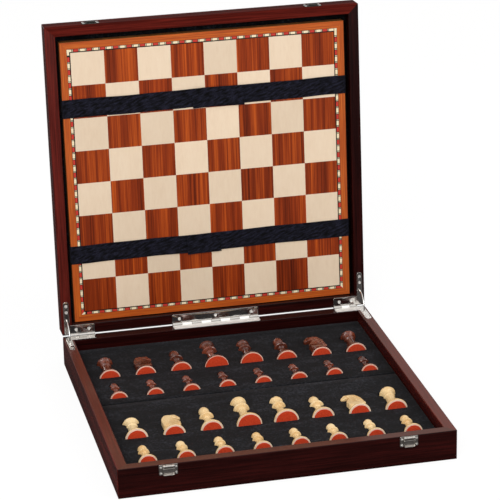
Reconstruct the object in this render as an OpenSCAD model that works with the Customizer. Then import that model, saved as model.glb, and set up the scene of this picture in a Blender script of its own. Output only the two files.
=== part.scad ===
// Wooden chess box. The base holds a moulded velvet tray with 32 pieces lying in their nests,
// and the hinged lid holds the playing board under two elastic straps.
// Millimetres. The origin is the middle of the underside, X to the right, Y to the hinges, Z up.
// The lid is drawn closed and is then turned open about the hinge axis.

/* [Board] */
// Side of one playing square
square_w = 40; // [34:0.5:46]
// Width of the inlaid band round the squares
inlay_w = 4.35; // [3:0.05:7]
// Width of the border round the inlaid band
border_w = 8.25; // [5:0.05:14]
// Thickness of the board
board_t = 12; // [9:0.5:16]
// Thickness of the veneers on the board
veneer_t = 0.8; // [0.5:0.1:1.4]
// Gap between the board and the lid walls, when centred
board_gap = 5; // [3.5:0.1:8]
// Gap between the board and the hinge wall of the lid, where it has slid down
board_low_gap = 1.2; // [0.6:0.1:3]

/* [Box] */
// Thickness of the walls
wall_t = 12.4; // [12:0.1:15]
// Height of the base, up to its rim
base_h = 35; // [32:0.5:45]
// Thickness of the bottom and top panels
panel_t = 4; // [3:0.5:5]
// Depth of the rebate that holds a panel
rebate_w = 5; // [3:0.5:6]
// Radius of the upright outer corners
corner_r = 1.5; // [1:0.1:5]
// Radius along the edges of the rims
rim_r = 1; // [0.6:0.1:2]
// Depth of the board's face below the rim of the lid
board_drop = 6; // [5:0.5:9]
// Thickness of the black lining in the lid
lining_t = 1; // [0.6:0.1:2]
// Opening angle of the lid
lid_open = 93.7; // [91:0.1:95]

/* [Tray] */
// Depth of the velvet surface below the rim of the base
tray_drop = 13.2; // [12.8:0.1:15]
// Gap between the tray and the walls
tray_gap = 0.4; // [0.2:0.1:1]
// Depth of the wells for the feet of the far officers
far_officer_well = 15.8; // [14.5:0.1:16.5]
// Depth of the wells for the feet of the far pawns
far_pawn_well = 13.7; // [11:0.1:14.5]
// Depth of the wells for the feet of the near officers
near_officer_well = 14.9; // [14.5:0.1:16.5]
// Depth of the wells for the feet of the near pawns
near_pawn_well = 11.2; // [11:0.1:14.5]
// Gap between the two blocks of the tray
tray_split = 0.6; // [0.3:0.1:2]
// Clearance of each nest round its piece
nest_gap = 0.5; // [0.3:0.1:1]
// Distance between the columns of pieces
column_step = 42.9; // [41:0.1:44]
// From the back wall to the feet of the far officers
far_officer_room = 92.6; // [84:0.5:98]
// From the feet of the far officers to those of the far pawns
far_pawn_step = 61; // [50:0.5:64]
// From the front wall to the feet of the near pawns
near_pawn_room = 21; // [10:0.5:26]
// From the feet of the near pawns to those of the near officers
near_officer_step = 67.5; // [50:0.5:70]
// From the feet of the near officers to the joint between the blocks
near_officer_room = 98; // [86:0.5:100]

/* [Straps] */
// Width of the elastic straps
strap_w = 20.5; // [12:0.5:30]
// Thickness of the straps
strap_t = 1; // [0.6:0.1:1.4]
// Thickness of the sewn lap on each strap
lap_t = 0.8; // [0.4:0.1:1.2]
// From the back of the box to the middle of the lower strap
low_strap_at = 100; // [60:1:140]
// From the back of the box to the middle of the upper strap
high_strap_at = 280.6; // [220:1:300]

/* [Hinges] */
// Thickness of the hinge leaves
leaf_t = 0.95; // [0.7:0.05:1.2]
// Width of the hinge leaves on the rims
leaf_w = 11; // [9.5:0.1:11.5]
// Outer radius of the hinge knuckles
knuckle_r = 2.3; // [2:0.1:2.6]
// Radius of the hinge pins
pin_r = 1; // [0.7:0.05:1.2]
// Hinge axis behind the back face of the box
axis_back = 1; // [0.6:0.1:1.5]
// Length of the centre hinge
centre_hinge_l = 108; // [80:1:140]
// Number of knuckles in the centre hinge
centre_knuckles = 9; // [5:2:13]
// Length of the knuckled part of a corner hinge
corner_hinge_l = 30; // [24:0.5:40]
// Width of the side arms of the corner hinges
arm_w = 7; // [6:0.1:8]
// Length of the side arms of the corner hinges
arm_l = 42; // [36:0.5:60]
// Radius of the curved stays about the hinge axis
stay_r = 20; // [18:0.5:22]
// Radius of the stay wire
stay_wire_r = 0.9; // [0.7:0.05:1.1]
// Radius of the screw heads
screw_head_r = 1.8; // [1.5:0.1:2]
// Radius of the screw shanks
screw_r = 0.9; // [0.7:0.05:1]
// Length of the screws below their heads
screw_l = 8; // [5:0.5:9]

/* [Catches] */
// From the middle of the box to the middle of a catch
catch_at = 134.5; // [90:0.5:150]
// Width of the catch plates
catch_w = 20.8; // [20.2:0.1:26]
// Height of the catch plates
catch_h = 12.2; // [12:0.1:16]
// Thickness of the catch plates
plate_t = 0.8; // [0.6:0.05:1]
// Width of the flap
flap_w = 12.8; // [12:0.1:13]
// From the pin of the flap to its free end
flap_l = 10.2; // [9.8:0.1:10.6]
// Thickness of the sheet that the flap is pressed from
sheet_t = 0.6; // [0.4:0.05:0.7]
// Outer radius of the flap's barrel
barrel_r = 1.6; // [1.5:0.05:1.8]
// Radius of the flap's pin
flap_pin_r = 0.7; // [0.5:0.05:0.8]

/* [Pieces] */
// Radius of the king's foot
king_r = 14.6; // [13:0.1:15.2]
// Height of the king below its cross
king_h = 64; // [58:0.5:70]
// Height of the king's cross
cross_h = 6.5; // [5:0.5:8]
// Radius of the queen's foot
queen_r = 14.3; // [12:0.1:14.8]
// Height of the queen
queen_h = 60; // [54:0.5:68]
// Radius of the bishop's foot
bishop_r = 13; // [11:0.1:14]
// Height of the bishop
bishop_h = 58; // [50:0.5:64]
// Radius of the knight's foot
knight_r = 12.9; // [11.5:0.1:13.5]
// Height of the knight
knight_h = 50; // [45:0.5:56]
// Radius of the rook's foot
rook_r = 13; // [11:0.1:14]
// Height of the rook
rook_h = 45; // [40:0.5:52]
// Radius of the pawn's foot
pawn_r = 10.8; // [9.5:0.1:12]
// Height of the pawn
pawn_h = 42; // [37:0.5:48]
// Thickness of the felt under each piece
felt_t = 1; // [0.6:0.1:1.5]
// Bare wood round the felts of the dark pieces
dark_felt_margin = 1.5; // [1:0.1:3]
// Bare wood round the felts of the light pieces
light_felt_margin = 2.1; // [1:0.1:3]

/* [Hidden] */
$fn = 48;
COLUMNS = 8;
OFFICERS = ["rook", "knight", "bishop", "king", "queen", "bishop", "knight", "rook"];

// The board with its gaps and the walls round it gives the size of the box
field_w = COLUMNS * square_w;
board_w = field_w + 2 * (inlay_w + border_w);
inner_w = board_w + 2 * board_gap;
box_w = inner_w + 2 * wall_t;
half = box_w / 2;
inner = inner_w / 2;

// Heights; the leaves of the hinges keep the two rims apart
leaf_play = 0.05;
rim_gap = 2 * (leaf_t + leaf_play);
axis_z = base_h + rim_gap / 2;
axis_y = half + axis_back;
lid_z = base_h + rim_gap;
lid_h = board_drop + board_t + lining_t + panel_t;
board_z = lid_z + board_drop;
lining_z = board_z + board_t;
lid_panel_z = lining_z + lining_t;
board_y = inner - board_low_gap - board_w / 2;
foot_r = 1;
over = 1;

// Hinges and screws
pin_play = 0.05;
knuckle_gap = 0.2;
groove_r = knuckle_r + 0.4;
leaf_edge = 0.8;
leaf_corner_r = 2;
corner_knuckles = 3;
arm_x = half - wall_t / 2;
corner_hinge_x = arm_x - arm_w / 2 - 0.3 - corner_hinge_l;
leaf_screw_y = half - leaf_edge - leaf_w / 2;
centre_screw_step = centre_hinge_l * 0.417;
corner_screw_step = corner_hinge_l * 0.26;
arm_screw_edge = 5;
arm_screw_step = 8;
arm_screws = [arm_l - arm_screw_edge - arm_screw_step, arm_l - arm_screw_edge];
screw_hole_r = screw_r + 0.1;
slot_d = 0.4;

// Stays: arcs about the hinge axis with a stop at each end
stay_hole_r = stay_wire_r + 0.3;
stop_r = stay_wire_r + 0.8;
stop_l = 2.4;
stop_angle = asin((leaf_t + 2 * leaf_play + 0.2) / (stay_r - stop_r));
stay_end = stop_angle + stop_l / stay_r * 180 / PI;
pocket_angle = lid_open / 2 + stay_end + 4;
pocket_w = 2 * (stop_r + 0.4);

// Catches: the flap hangs in front of its plate and turns up over the bridge of the keeper
flap_gap = 0.2;
flap_depth = 2 * (barrel_r + 0.05);
flap_y = -half - plate_t - flap_gap - flap_depth / 2;
flap_z = base_h - barrel_r - 0.1;
flap_knuckle_w = flap_w * 0.5;
keeper_z = lid_z + 0.3;
bridge_w = flap_w - 2 * sheet_t - 0.4;
bridge_z = keeper_z + 0.8;
bridge_h = flap_z + flap_l - sheet_t - 0.5 - bridge_z;
bridge_d = flap_depth - sheet_t - 0.3;
catch_screw_x = (catch_w + flap_w) / 4;
catch_screw_edge = 2.6;
catch_screw_z = catch_h / 2 - catch_screw_edge;
catch_head_r = 1.5;
catch_screw_r = 0.7;
catch_screw_l = 6;

// Tray and pieces
tray_z = base_h - tray_drop;
far_officer_y = inner - far_officer_room;
far_pawn_y = far_officer_y - far_pawn_step;
near_pawn_y = -inner + near_pawn_room;
near_officer_y = near_pawn_y + near_officer_step;
split_y = near_officer_y + near_officer_room;
foot_edge = 0.4;
nest_end_gap = 1.5;

// Angles by which the heads of the officers lie higher than their feet, from left to right
FAR_TILT = [4, 1.5, 2, 0, 1, 4.5, 4.5, 5.5];
NEAR_TILT = [0, 0.5, 2.5, 0, 0, 0, 0, 4];
cut_w = 1.1;
crenel_w = 2.2;
strap_slit = 0.3;
low_lap = [-30, 12];
high_lap = [-16, 47];

// Places

// Turns what is drawn in the closed lid to its open place
module in_open_lid() {
    translate([0, axis_y, axis_z]) rotate([-lid_open, 0, 0]) translate([0, -axis_y, -axis_z]) children();
}

// Mirrors what is drawn on the rim of the base to the rim of the closed lid
module on_lid_rim() {
    translate([0, 0, axis_z]) mirror([0, 0, 1]) translate([0, 0, -axis_z]) children();
}

// Lays a standing piece on its side in the tray, head to the back, with its axis at this depth
module lying(column, row_y, depth, tilt = 0) {
    translate([(column - (COLUMNS - 1) / 2) * column_step, row_y, tray_z - depth])
        rotate([tilt - 90, 0, 0]) children();
}

// Flat outlines

module round_square(w, d, r) {
    square([w - 2 * r, d], center = true);
    square([w, d - 2 * r], center = true);
    for (x = [-1, 1], y = [-1, 1]) translate([x * (w / 2 - r), y * (d / 2 - r)]) circle(r);
}

// Cross-section of a wall: outer face at x = 0, rim at the top, rebate for the panel at the inner foot
module wall_section(h) {
    difference() {
        union() {
            translate([0, foot_r]) square([wall_t, h - foot_r - rim_r]);
            translate([rim_r, foot_r]) square([wall_t - 2 * rim_r, h - foot_r]);
            translate([foot_r, 0]) square([wall_t - foot_r, 2 * foot_r]);
            translate([foot_r, foot_r]) circle(foot_r);
            for (x = [rim_r, wall_t - rim_r]) translate([x, h - rim_r]) circle(rim_r);
        }
        translate([wall_t - rebate_w, -over]) square([rebate_w + over, panel_t + over]);
    }
}

// One mitred wall of a square frame; 0 is the front, 1 the right, 2 the back, 3 the left
module mitred_wall(h, side) {
    rotate([0, 0, side * 90]) intersection() {
        translate([0, -half, 0]) rotate([90, 0, 90]) linear_extrude(box_w, center = true) wall_section(h);
        linear_extrude(h) polygon([[-half, -half], [half, -half], [0, 0]]);
        linear_extrude(h) round_square(box_w, box_w, corner_r);
    }
}

module lid_wall(side) {
    translate([0, 0, lid_z + lid_h]) mirror([0, 0, 1]) mitred_wall(lid_h, side);
}

// Screws

module countersink(r, head_r, t) {
    translate([0, 0, -t]) cylinder(h = t + 0.01, r1 = r, r2 = head_r + (head_r - r) * 0.01 / t);
}

// Screw with its flat head at the origin and its shank along -Z
module wood_screw(r, head_r, t, l) {
    difference() {
        union() {
            translate([0, 0, -t]) cylinder(h = t, r1 = r, r2 = head_r);
            translate([0, 0, -l]) cylinder(h = l - t + 0.01, r = r);
            translate([0, 0, -l - 2 * r]) cylinder(h = 2 * r, r1 = 0, r2 = r);
        }
        for (a = [45, 135]) rotate([0, 0, a])
            translate([-head_r * 0.7, -0.25, -slot_d]) cube([head_r * 1.4, 0.5, 1]);
    }
}

// The hole in the wood for one screw; it ends in a cone like the screw
module screw_hole(r, l) {
    translate([0, 0, -l]) cylinder(h = l + over, r = r + 0.1);
    translate([0, 0, -l - 2 * r - 0.2]) cylinder(h = 2 * r + 0.2, r1 = 0, r2 = r + 0.1);
}

module at_centre_screws() {
    for (k = [-1, 0, 1]) translate([k * centre_screw_step, leaf_screw_y, axis_z - leaf_play]) children();
}

module at_corner_leaf_screws(sides) {
    for (s = sides, k = [-1, 1])
        translate([
            s * (corner_hinge_x + corner_hinge_l / 2 + k * corner_screw_step),
            leaf_screw_y, axis_z - leaf_play
        ])
            children();
}

module at_arm_screws(sides) {
    for (s = sides, a = arm_screws) translate([s * arm_x, half - a, axis_z - leaf_play]) children();
}

module at_hinge_screws(sides) {
    at_corner_leaf_screws(sides) children();
    at_arm_screws(sides) children();
}

// Screws of one catch or keeper plate, whose middle is at height z on the front face
module at_plate_screws(sides, z) {
    for (s = sides, x = [-1, 1], k = [-1, 1])
        translate([s * catch_at + x * catch_screw_x, -half - plate_t, z + k * catch_screw_z])
            rotate([90, 0, 0]) children();
}

catch_plate_z = base_h - 0.2 - catch_h / 2;
keeper_plate_z = keeper_z + catch_h / 2;

// Hinge parts, drawn on the rim of the base

module finger_row(x0, l, count, first, leave) {
    for (i = [first:2:count - 1])
        translate([x0 + i * l / count + leave / 2, 0, 0]) children();
}

// Flat leaf with its knuckles, from x0 over the length l; knuckles number first, first + 2 and so on
module knuckled_leaf(x0, l, count, first) {
    finger_l = l / count - knuckle_gap;
    difference() {
        union() {
            children();
            finger_row(x0, l, count, first, knuckle_gap) {
                translate([0, half - leaf_edge - leaf_w / 2, axis_z - leaf_play - leaf_t])
                    cube([finger_l, axis_y - half + leaf_edge + leaf_w / 2, leaf_t]);
                translate([0, axis_y, axis_z]) rotate([0, 90, 0]) cylinder(h = finger_l, r = knuckle_r);
            }
        }
        translate([x0 - over, axis_y, axis_z]) rotate([0, 90, 0])
            cylinder(h = l + 2 * over, r = pin_r + pin_play);
        finger_row(x0, l, count, 1 - first, -knuckle_gap)
            translate([0, axis_y, axis_z]) rotate([0, 90, 0])
                cylinder(h = l / count + knuckle_gap, r = groove_r);
    }
}

module centre_leaf(first) {
    difference() {
        knuckled_leaf(-centre_hinge_l / 2, centre_hinge_l, centre_knuckles, first)
            translate([0, half - leaf_edge - leaf_w / 2, axis_z - leaf_play - leaf_t])
                linear_extrude(leaf_t) round_square(centre_hinge_l, leaf_w, leaf_corner_r);
        at_centre_screws() countersink(screw_hole_r, screw_head_r + 0.1, leaf_t);
    }
}

// L-shaped leaf of a corner hinge on the right, with the hole that its stay runs through
module corner_leaf(first) {
    leaf_end = arm_x + arm_w / 2;
    difference() {
        knuckled_leaf(corner_hinge_x, corner_hinge_l, corner_knuckles, first)
            translate([0, 0, axis_z - leaf_play - leaf_t]) linear_extrude(leaf_t) union() {
                translate([(corner_hinge_x + leaf_end) / 2, half - leaf_edge - leaf_w / 2])
                    round_square(leaf_end - corner_hinge_x, leaf_w, leaf_corner_r);
                translate([arm_x - arm_w / 2, half - arm_l + arm_w / 2])
                    square([arm_w, arm_l - arm_w / 2 - leaf_edge - leaf_corner_r]);
                translate([arm_x, half - arm_l + arm_w / 2]) circle(arm_w / 2);
            }
        at_hinge_screws([1]) countersink(screw_hole_r, screw_head_r + 0.1, leaf_t);
        translate([arm_x, axis_y - stay_r, axis_z - leaf_t - over])
            cylinder(h = leaf_t + 2 * over, r = stay_hole_r);
    }
}

// Pocket along the path of a stay; the same pocket runs into the base and the closed lid
module stay_pocket(side) {
    translate([side * arm_x + pocket_w / 2, axis_y, axis_z]) rotate([0, -90, 0]) rotate([0, 0, -90])
        rotate([0, 0, -pocket_angle]) rotate_extrude(angle = 2 * pocket_angle, $fn = 96)
            translate([stay_r - pocket_w / 2, 0]) square(pocket_w);
}

// Stay: a wire bent to an arc about the hinge axis, with a thicker stop at each end
module stay(side) {
    translate([side * arm_x, axis_y, axis_z]) rotate([0, -90, 0]) rotate([0, 0, -90]) {
        rotate([0, 0, -stop_angle]) rotate_extrude(angle = lid_open + 2 * stop_angle, $fn = 96)
            translate([stay_r, 0]) circle(stay_wire_r, $fn = 24);
        for (a = [-stay_end, lid_open + stop_angle])
            rotate([0, 0, a]) rotate_extrude(angle = stay_end - stop_angle, $fn = 96)
                translate([stay_r, 0]) circle(stop_r, $fn = 24);
    }
}

// Grooves in the wood behind the knuckles
module knuckle_grooves() {
    for (c = [[0, centre_hinge_l], [-1, corner_hinge_l], [1, corner_hinge_l]])
        translate([c[0] * (corner_hinge_x + corner_hinge_l / 2) - c[1] / 2 - 0.3, axis_y, axis_z])
            rotate([0, 90, 0]) cylinder(h = c[1] + 0.6, r = groove_r);
}

module back_wall_cuts() {
    knuckle_grooves();
    for (s = [-1, 1]) stay_pocket(s);
    at_centre_screws() screw_hole(screw_r, screw_l);
    at_corner_leaf_screws([-1, 1]) screw_hole(screw_r, screw_l);
}

module side_wall_cuts(side) {
    stay_pocket(side);
    at_arm_screws([side]) screw_hole(screw_r, screw_l);
}

// Catch parts

// Plate on the front face with a flange at each side of the flap
module catch_plate(side) {
    ear_w = (flap_w - flap_knuckle_w) / 2 - 0.1;
    difference() {
        translate([side * catch_at, 0, 0]) union() {
            translate([0, -half, catch_plate_z]) rotate([90, 0, 0])
                linear_extrude(plate_t) round_square(catch_w, catch_h, 1);
            for (x = [-flap_w / 2, flap_w / 2 - ear_w]) {
                translate([x, flap_y, flap_z]) rotate([0, 90, 0]) cylinder(h = ear_w, r = barrel_r);
                translate([x, flap_y, flap_z + barrel_r - 1])
                    cube([ear_w, -half - plate_t - flap_y + 0.1, 1]);
            }
        }
        translate([side * catch_at - flap_w, flap_y, flap_z])
            rotate([0, 90, 0]) cylinder(h = 2 * flap_w, r = flap_pin_r + pin_play);
        at_plate_screws([side], catch_plate_z) countersink(catch_screw_r + 0.1, catch_head_r + 0.1, plate_t);
    }
}

// Flap pressed from sheet: a dished cover that hangs open side out, on a barrel at its top
module flap(side) {
    back_y = flap_y + flap_depth / 2;
    below_ear = barrel_r + 0.4;
    dish_h = flap_l - below_ear;
    difference() {
        translate([side * catch_at, 0, flap_z]) union() {
            difference() {
                translate([0, back_y, -below_ear - dish_h / 2]) rotate([90, 0, 0])
                    linear_extrude(flap_depth) round_square(flap_w, dish_h, 1.2);
                translate([0, back_y - sheet_t, -below_ear - dish_h / 2]) rotate([90, 0, 0])
                    linear_extrude(flap_depth) round_square(flap_w - 2 * sheet_t, dish_h - 2 * sheet_t, 0.6);
            }
            translate([-flap_knuckle_w / 2 + 0.1, back_y - sheet_t, -below_ear - 1])
                cube([flap_knuckle_w - 0.2, sheet_t, below_ear + 1]);
            translate([-flap_knuckle_w / 2 + 0.1, flap_y, 0]) rotate([0, 90, 0])
                cylinder(h = flap_knuckle_w - 0.2, r = barrel_r);
        }
        translate([side * catch_at - flap_w, flap_y, flap_z])
            rotate([0, 90, 0]) cylinder(h = 2 * flap_w, r = flap_pin_r + pin_play);
    }
}

// Keeper on the front face of the lid: two flanges and a raised bridge that is open above and below
module keeper(side) {
    difference() {
        translate([side * catch_at, 0, 0]) union() {
            translate([0, -half, keeper_plate_z]) rotate([90, 0, 0])
                linear_extrude(plate_t) round_square(catch_w, catch_h, 1);
            translate([0, -half - plate_t + 0.01, bridge_z])
                difference() {
                    translate([-bridge_w / 2, -bridge_d, 0]) cube([bridge_w, bridge_d, bridge_h]);
                    translate([-bridge_w / 2 + sheet_t, -bridge_d + sheet_t, -over])
                        cube([bridge_w - 2 * sheet_t, bridge_d, bridge_h + 2 * over]);
                }
        }
        at_plate_screws([side], keeper_plate_z) countersink(catch_screw_r + 0.1, catch_head_r + 0.1, plate_t);
    }
}

// Turned outlines of the pieces, as points [radius, height]

// Foot with a rounded drum, a bell above it and a cove that sweeps in to the neck
function foot_line(r, neck_r, neck_z) = concat(
    [[0, felt_t], [r - foot_edge, felt_t]],
    [for (a = [30:30:90]) [r - foot_edge + foot_edge * sin(a), felt_t + foot_edge * (1 - cos(a))]],
    [[r, felt_t + 0.14 * r]],
    [for (a = [18:18:72]) [0.92 * r + 0.08 * r * cos(a), felt_t + 0.14 * r + 0.10 * r * sin(a)]],
    [[0.91 * r, felt_t + 0.25 * r]],
    [for (a = [10:15:70]) [0.58 * r + 0.33 * r * cos(a), felt_t + 0.27 * r + 0.50 * r * sin(a)]],
    [for (a = [0:15:90]) [neck_r + (0.66 * r - neck_r) * (1 - sin(a)),
        felt_t + 0.78 * r + (neck_z - felt_t - 0.78 * r) * (1 - cos(a))]]
);

// A round bead of the radius r on a stem, from the height z over the width w
function bead(r, z, w) = [for (a = [-90:30:90]) [r - w / 2 + w / 2 * cos(a), z + w / 2 + w / 2 * sin(a)]];

// A broad collar with a domed edge, from the height z over the width w
function collar(r, neck_r, z, w) = concat(
    [[neck_r, z]],
    [for (a = [-60:30:60]) [r * 0.78 + r * 0.22 * cos(a), z + 0.5 * w + 0.45 * w * sin(a)]],
    [[neck_r, z + w]]
);

// A cup that opens out from a thin neck to a rim, between two heights
function cup(neck_r, rim_r, z0, z1) =
    [for (a = [0:15:90]) [neck_r + (rim_r - neck_r) * (1 - cos(a)), z0 + (z1 - z0) * sin(a)]];

function king_line(r, h) = concat(
    foot_line(r, 0.33 * r, 0.50 * h), [[0.29 * r, 0.60 * h]],
    bead(0.40 * r, 0.615 * h, 0.03 * h), collar(0.64 * r, 0.40 * r, 0.645 * h, 0.065 * h),
    bead(0.42 * r, 0.71 * h, 0.03 * h),
    cup(0.31 * r, 0.62 * r, 0.745 * h, 0.93 * h), [[0.64 * r, 0.945 * h], [0.60 * r, 0.96 * h]],
    [for (a = [0:18:72]) [0.50 * r * cos(a), 0.96 * h + 0.035 * h * sin(a)]],
    [[0.13 * r, h], [0, h]]
);

function queen_line(r, h) = concat(
    foot_line(r, 0.31 * r, 0.50 * h), [[0.27 * r, 0.59 * h]],
    bead(0.37 * r, 0.605 * h, 0.03 * h), collar(0.56 * r, 0.36 * r, 0.635 * h, 0.065 * h),
    bead(0.38 * r, 0.70 * h, 0.03 * h),
    cup(0.29 * r, 0.55 * r, 0.735 * h, 0.885 * h), [[0.54 * r, 0.905 * h], [0.42 * r, 0.885 * h]],
    [for (a = [10:16:74]) [0.40 * r * cos(a), 0.885 * h + 0.05 * h * sin(a)]],
    [for (a = [-60:30:90]) [0.14 * r * cos(a), h - 0.14 * r + 0.14 * r * sin(a)]]
);

function bishop_line(r, h) = concat(
    foot_line(r, 0.32 * r, 0.42 * h), [[0.27 * r, 0.49 * h]],
    bead(0.38 * r, 0.50 * h, 0.03 * h), collar(0.65 * r, 0.38 * r, 0.53 * h, 0.065 * h),
    bead(0.42 * r, 0.595 * h, 0.03 * h),
    [[0.28 * r, 0.65 * h]],
    [for (a = [-50:14:76]) [0.05 * r + 0.43 * r * cos(a), 0.80 * h + 0.135 * h * sin(a)]],
    [for (a = [-50:35:90]) [0.13 * r * cos(a), h - 0.13 * r + 0.13 * r * sin(a)]]
);

function rook_line(r, h) = concat(
    foot_line(r, 0.43 * r, 0.56 * h), [[0.40 * r, 0.66 * h]],
    bead(0.52 * r, 0.675 * h, 0.04 * h), cup(0.43 * r, 0.72 * r, 0.72 * h, 0.87 * h),
    [[0.74 * r, 0.885 * h], [0.74 * r, 0.99 * h], [0.72 * r, h], [0.52 * r, h], [0.50 * r, 0.93 * h],
        [0, 0.91 * h]]
);

function pawn_line(r, h) = concat(
    foot_line(r, 0.30 * r, 0.50 * h), [[0.26 * r, 0.58 * h]],
    bead(0.36 * r, 0.59 * h, 0.03 * h), collar(0.60 * r, 0.36 * r, 0.62 * h, 0.065 * h),
    [[0.30 * r, 0.70 * h], [0.27 * r, 0.735 * h]],
    [for (a = [-50:14:90]) [0.50 * r * cos(a), h - 0.50 * r + 0.50 * r * sin(a)]]
);

function knight_foot_line(r) = concat(
    foot_line(r, 0.72 * r, 0.92 * r), [[0.66 * r, 0.98 * r], [0, 0.98 * r]]
);

module turned(points) {
    rotate_extrude($fn = 64) polygon(points);
}

module king() {
    turned(king_line(king_r, king_h));
    // Cross with arms that widen outwards
    for (a = [0, 90]) translate([0, 0, king_h + cross_h * 0.5]) rotate([90, a, 0])
        linear_extrude(cross_h * 0.28, center = true) for (s = [-1, 1])
            polygon([
                [0, -cross_h * 0.09], [s * cross_h * 0.5, -cross_h * 0.22],
                [s * cross_h * 0.5, cross_h * 0.22], [0, cross_h * 0.09]
            ]);
    translate([0, 0, king_h - 1]) cylinder(h = cross_h * 0.5, r = cross_h * 0.16);
}

module queen() {
    difference() {
        turned(queen_line(queen_r, queen_h));
        for (a = [22.5:45:359]) rotate([0, 0, a])
            translate([queen_r * 0.3, 0, queen_h * 0.915]) rotate([0, 90, 0])
                cylinder(h = queen_r * 0.5, r = queen_r * 0.12);
    }
}

module bishop() {
    difference() {
        turned(bishop_line(bishop_r, bishop_h));
        // Slanted cut in the mitre
        translate([bishop_r * 0.05, 0, bishop_h * 0.83]) rotate([0, -38, 0])
            translate([0, -bishop_r, 0]) cube([bishop_r, 2 * bishop_r, cut_w]);
    }
}

module rook() {
    difference() {
        turned(rook_line(rook_r, rook_h));
        for (a = [0:60:120]) rotate([0, 0, a])
            translate([-rook_r, -crenel_w / 2, rook_h * 0.935]) cube([2 * rook_r, crenel_w, rook_h]);
    }
}

module pawn() {
    turned(pawn_line(pawn_r, pawn_h));
}

// A smooth closed line through a few points
function spline_point(a, b, c, d, t) =
    0.5 * ((2 * b) + (c - a) * t + (2 * a - 5 * b + 4 * c - d) * t * t + (3 * b - a - 3 * c + d) * t * t * t);
function spline(p, steps) = let(n = len(p)) [for (i = [0:n - 1], k = [0:steps - 1])
    spline_point(p[(i + n - 1) % n], p[i], p[(i + 1) % n], p[(i + 2) % n], k / steps)];

// Side view of the horse's head on a knight, nose to +X, as shares of the foot's radius and the height
HORSE = [
    [-0.66, 0.24], [0.66, 0.24], [0.74, 0.34], [0.82, 0.42], [0.74, 0.50], [0.54, 0.59], [0.36, 0.68],
    [0.28, 0.735], [0.46, 0.725], [0.70, 0.715], [0.92, 0.715], [1.04, 0.755], [0.96, 0.805], [0.80, 0.845],
    [0.62, 0.885], [0.46, 0.93], [0.26, 0.955], [0.06, 1.00], [-0.14, 0.955], [-0.34, 0.88], [-0.56, 0.78],
    [-0.72, 0.64], [-0.76, 0.50], [-0.74, 0.36]
];
// Half widths of the same head seen from the front, from the neck to the ears
HORSE_FRONT = [
    [0.66, 0.24], [0.62, 0.34], [0.52, 0.46], [0.46, 0.60], [0.42, 0.75], [0.38, 0.88], [0.20, 1.0]
];

module horse_head(r, h) {
    side = [for (p = spline(HORSE, 3)) [p[0] * r, p[1] * h]];
    front = concat([for (p = HORSE_FRONT) [p[0] * r, p[1] * h]],
        [for (i = [len(HORSE_FRONT) - 1:-1:0]) [-HORSE_FRONT[i][0] * r, HORSE_FRONT[i][1] * h]]);
    difference() {
        intersection() {
            rotate([90, 0, 0]) linear_extrude(2 * r, center = true) polygon(side);
            rotate([90, 0, 90]) linear_extrude(3 * r, center = true) polygon(front);
        }
        // The head narrows from the cheeks to the muzzle
        for (s = [-1, 1]) translate([0, 0, 0.66 * h]) linear_extrude(h)
            polygon([[0.42 * r, s * 0.46 * r], [1.2 * r, s * 0.18 * r], [1.2 * r, s * r], [0.42 * r, s * r]]);
        // Split between the ears, mouth, nostrils, eyes and the locks of the mane
        translate([-0.2 * r, -0.07 * r, 0.945 * h]) cube([r, 0.14 * r, h]);
        translate([0.94 * r, 0, 0.742 * h]) rotate([90, 0, 0])
            cylinder(h = 2 * r, r = 0.035 * r, center = true);
        for (s = [-1, 1]) {
            translate([0.60 * r, s * 0.42 * r, 0.85 * h]) sphere(0.09 * r);
            translate([0.93 * r, s * 0.30 * r, 0.775 * h]) sphere(0.06 * r);
            for (k = [0:5])
                translate([(-0.20 - 0.08 * k) * r, s * (0.40 + 0.03 * k) * r, (0.89 - 0.10 * k) * h])
                    rotate([0, -60, 0]) cylinder(h = 0.8 * r, r = 0.06 * r, center = true);
        }
    }
    // Round cheeks
    for (s = [-1, 1]) translate([0.30 * r, s * 0.22 * r, 0.815 * h]) sphere(0.25 * r);
}

module knight() {
    turned(knight_foot_line(knight_r));
    horse_head(knight_r, knight_h);
}

module felt(r, margin) {
    cylinder(h = felt_t, r = r - margin);
}

// The pieces of one kind, each in its column of the far or the near row of officers
module kind(name, r, near) {
    row_y = near ? near_officer_y : far_officer_y;
    well = near ? near_officer_well : far_officer_well;
    for (c = [0:COLUMNS - 1]) if (OFFICERS[c] == name)
        lying(c, row_y, well - r, near ? NEAR_TILT[c] : FAR_TILT[c])
            mirror([name == "knight" && c > COLUMNS / 2 ? 1 : 0, 0, 0]) children();
}

module pawns(near) {
    row_y = near ? near_pawn_y : far_pawn_y;
    well = near ? near_pawn_well : far_pawn_well;
    for (c = [0:COLUMNS - 1]) lying(c, row_y, well - pawn_r) children();
}

// The felts of the larger feet come nearer to the edge
module officer_felts(near, margin) {
    kind("king", king_r, near) felt(king_r, margin - 0.6);
    kind("queen", queen_r, near) felt(queen_r, margin - 0.2);
    kind("bishop", bishop_r, near) felt(bishop_r, margin);
    kind("knight", knight_r, near) felt(knight_r, margin);
    kind("rook", rook_r, near) felt(rook_r, margin);
}

// Nests of the tray: a round well for the foot and a narrower one for the stem and head, open upwards
module nest_part(r, z0, z1) {
    translate([0, 0, z0]) {
        cylinder(h = z1 - z0, r = r);
        translate([-r, -tray_drop - r, 0]) cube([2 * r, tray_drop + r, z1 - z0]);
    }
}

module nest(r, head_r, h) {
    nest_part(r + nest_gap, -nest_gap, felt_t + 0.75 * r + nest_gap);
    nest_part(head_r + nest_gap, 0, h + nest_end_gap);
}

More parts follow.
